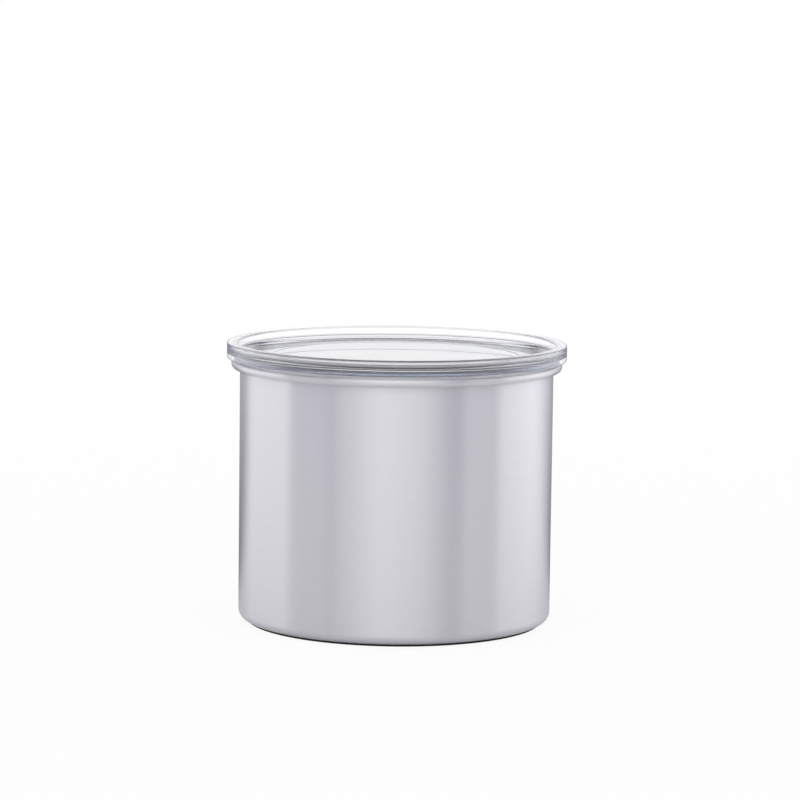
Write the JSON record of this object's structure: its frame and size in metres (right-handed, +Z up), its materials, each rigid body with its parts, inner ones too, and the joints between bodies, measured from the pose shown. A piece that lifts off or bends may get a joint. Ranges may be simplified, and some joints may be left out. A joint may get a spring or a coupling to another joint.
{
  "type": "coffee canister with valve",
  "caption": "Round brushed steel coffee canister with a clear lid, over a sliding inner lid whose fold-down handle opens and shuts a sprung air valve.",
  "frame": {"origin": "middle of the foot, on the surface that the canister stands on", "axes": "+Z up along the canister's axis, -Y to the front, +X along the handle's pivot"},
  "size_m": [0.13, 0.13, 0.1073],
  "materials": {
    "steel": "brushed round the wall",
    "black_rubber": "matte",
    "clear_plastic": "clear, polished",
    "black_plastic": "fine satin texture",
    "silicone": "milky, matte",
    "pin_steel": "bright drawn",
    "grey_plastic": "satin"
  },
  "bodies": {
    "canister": {"canister_shell": "steel", "base_pad": "black_rubber"},
    "lid": {"outer_lid": "clear_plastic"},
    "inner_lid": {"inner_lid_plate": "black_plastic", "wiper_gasket": "silicone", "gasket_retainer": "black_plastic", "handle_pins": "pin_steel", "valve_spring": "pin_steel", "valve_strainer": "grey_plastic"},
    "bail": {"handle": "black_plastic"},
    "valve": {"valve_plunger": "grey_plastic", "valve_seal": "silicone"}
  },
  "joints": [
    {"name": "outer_lid_lift", "type": "slide", "parent": "canister", "child": "lid", "axis": [0, 0, 1], "range_m": [0, 0.08]},
    {"name": "inner_lid_slide", "type": "slide", "parent": "canister", "child": "inner_lid", "axis": [0, 0, 1], "range_m": [-0.032, 0]},
    {"name": "handle_fold", "type": "hinge", "parent": "inner_lid", "child": "bail", "pos_m": [0, 0, 0.05735], "axis": [1, 0, 0], "range_deg": [0, 90]},
    {"name": "valve_lift", "type": "slide", "parent": "inner_lid", "child": "valve", "axis": [0, 0, 1], "range_m": [0, 0.0025], "deforming": ["valve_spring"]}
  ],
  "couplings": [
    {"joint": "valve_lift", "follows": "handle_fold", "m_per_rad": 0.0015915}
  ]
}
